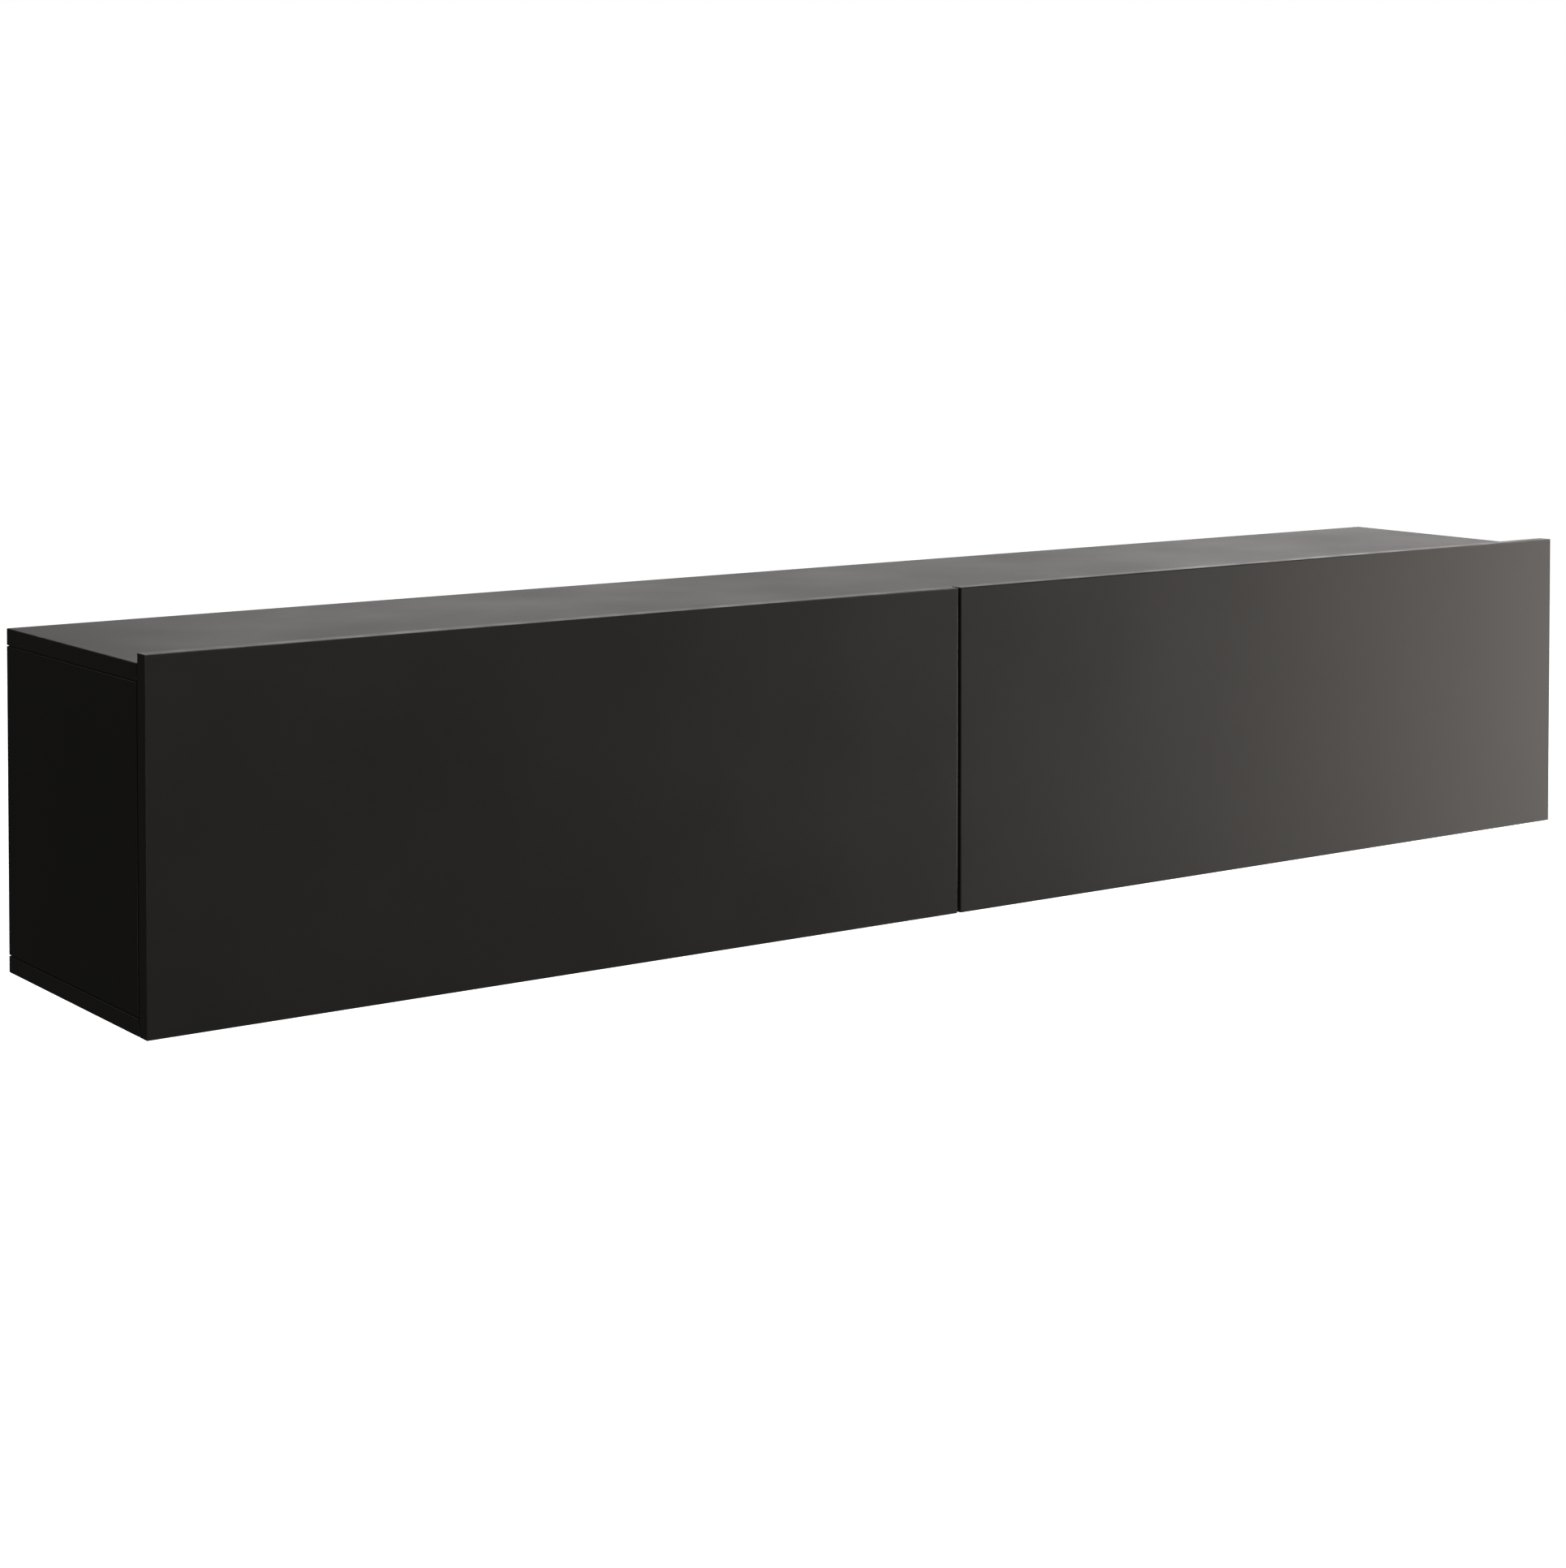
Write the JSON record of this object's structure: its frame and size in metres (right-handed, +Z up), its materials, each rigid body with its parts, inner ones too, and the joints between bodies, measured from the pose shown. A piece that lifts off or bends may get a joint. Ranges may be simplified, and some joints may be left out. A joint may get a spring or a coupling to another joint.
{
  "type": "wall-hung lowboard",
  "caption": "Long, low wall-hung cabinet with side-by-side drop-down flap fronts that stand slightly above its top as finger grips, over open compartments.",
  "frame": {"origin": "middle of the width and depth, at the height of the underside", "axes": "+X to the right along the width, -Y out of the flap fronts, +Y into the wall, +Z up"},
  "size_m": [1.8, 0.316, 0.337],
  "materials": {
    "laminate": "fine-textured matt black melamine on board",
    "hardboard": "black painted hardboard",
    "nickel": "nickel-plated pressed steel",
    "zinc": "zinc die-cast and zinc-plated steel",
    "rubber": "soft dark rubber"
  },
  "bodies": {
    "root": {"top_panel": "laminate", "bottom_panel": "laminate", "side_panel_left": "laminate", "side_panel_right": "laminate", "centre_partition": "laminate", "back_panel_left": "hardboard", "back_panel_right": "hardboard", "wall_rail_left": "zinc", "wall_rail_right": "zinc", "hanger_left_outer": "zinc", "hanger_left_inner": "zinc", "hanger_right_outer": "zinc", "hanger_right_inner": "zinc", "cam_left_front_low": "zinc", "cam_left_front_high": "zinc", "cam_left_rear_low": "zinc", "cam_left_rear_high": "zinc", "cam_middle_front_low": "zinc", "cam_middle_front_high": "zinc", "cam_middle_rear_low": "zinc", "cam_middle_rear_high": "zinc", "cam_right_front_low": "zinc", "cam_right_front_high": "zinc", "cam_right_rear_low": "zinc", "cam_right_rear_high": "zinc", "bump_stop_left_outer": "rubber", "bump_stop_left_inner": "rubber", "hinge_plate_left_a": "zinc", "hinge_arm_left_a": "nickel", "hinge_plate_left_b": "zinc", "hinge_arm_left_b": "nickel", "stay_side_bracket_left": "nickel", "bump_stop_right_outer": "rubber", "bump_stop_right_inner": "rubber", "hinge_plate_right_a": "zinc", "hinge_arm_right_a": "nickel", "hinge_plate_right_b": "zinc", "hinge_arm_right_b": "nickel", "stay_side_bracket_right": "nickel"},
    "flap_left": {"flap_left": "laminate", "hinge_cup_left_a": "nickel", "hinge_cup_left_b": "nickel", "stay_flap_bracket_left": "nickel"},
    "hinge_links_left": {"hinge_link_left_a": "nickel", "hinge_link_left_b": "nickel"},
    "stay_side_arm_left": {"stay_side_arm_left": "nickel"},
    "stay_flap_arm_left": {"stay_flap_arm_left": "nickel"},
    "flap_right": {"flap_right": "laminate", "hinge_cup_right_a": "nickel", "hinge_cup_right_b": "nickel", "stay_flap_bracket_right": "nickel"},
    "hinge_links_right": {"hinge_link_right_a": "nickel", "hinge_link_right_b": "nickel"},
    "stay_side_arm_right": {"stay_side_arm_right": "nickel"},
    "stay_flap_arm_right": {"stay_flap_arm_right": "nickel"}
  },
  "joints": [
    {"name": "flap_left_swing", "type": "hinge", "parent": "root", "child": "flap_left", "pos_m": [-0.451, -0.153, 0.005], "axis": [1, 0, 0], "range_deg": [0, 90]},
    {"name": "hinge_links_left_turn", "type": "hinge", "parent": "flap_left", "child": "hinge_links_left", "pos_m": [-0.451, -0.1455, 0.009], "axis": [1, 0, 0], "range_deg": [-125, 0]},
    {"name": "stay_side_arm_left_turn", "type": "hinge", "parent": "root", "child": "stay_side_arm_left", "pos_m": [-0.8787, -0.043, 0.065], "axis": [1, 0, 0], "range_deg": [0, 90]},
    {"name": "stay_flap_arm_left_turn", "type": "hinge", "parent": "flap_left", "child": "stay_flap_arm_left", "pos_m": [-0.8759, -0.134, 0.12], "axis": [1, 0, 0], "range_deg": [-90, 0]},
    {"name": "flap_right_swing", "type": "hinge", "parent": "root", "child": "flap_right", "pos_m": [0.451, -0.153, 0.005], "axis": [1, 0, 0], "range_deg": [0, 90]},
    {"name": "hinge_links_right_turn", "type": "hinge", "parent": "flap_right", "child": "hinge_links_right", "pos_m": [0.451, -0.1455, 0.009], "axis": [1, 0, 0], "range_deg": [-125, 0]},
    {"name": "stay_side_arm_right_turn", "type": "hinge", "parent": "root", "child": "stay_side_arm_right", "pos_m": [0.8787, -0.043, 0.065], "axis": [1, 0, 0], "range_deg": [0, 90]},
    {"name": "stay_flap_arm_right_turn", "type": "hinge", "parent": "flap_right", "child": "stay_flap_arm_right", "pos_m": [0.8759, -0.134, 0.12], "axis": [1, 0, 0], "range_deg": [-90, 0]}
  ],
  "couplings": [
    {"joint": "hinge_links_left_turn", "follows": "flap_left_swing", "ratio": -1.3856},
    {"joint": "stay_side_arm_left_turn", "follows": "flap_left_swing", "ratio": 1},
    {"joint": "stay_flap_arm_left_turn", "follows": "flap_left_swing", "ratio": -1},
    {"joint": "hinge_links_right_turn", "follows": "flap_right_swing", "ratio": -1.3856},
    {"joint": "stay_side_arm_right_turn", "follows": "flap_right_swing", "ratio": 1},
    {"joint": "stay_flap_arm_right_turn", "follows": "flap_right_swing", "ratio": -1}
  ]
}
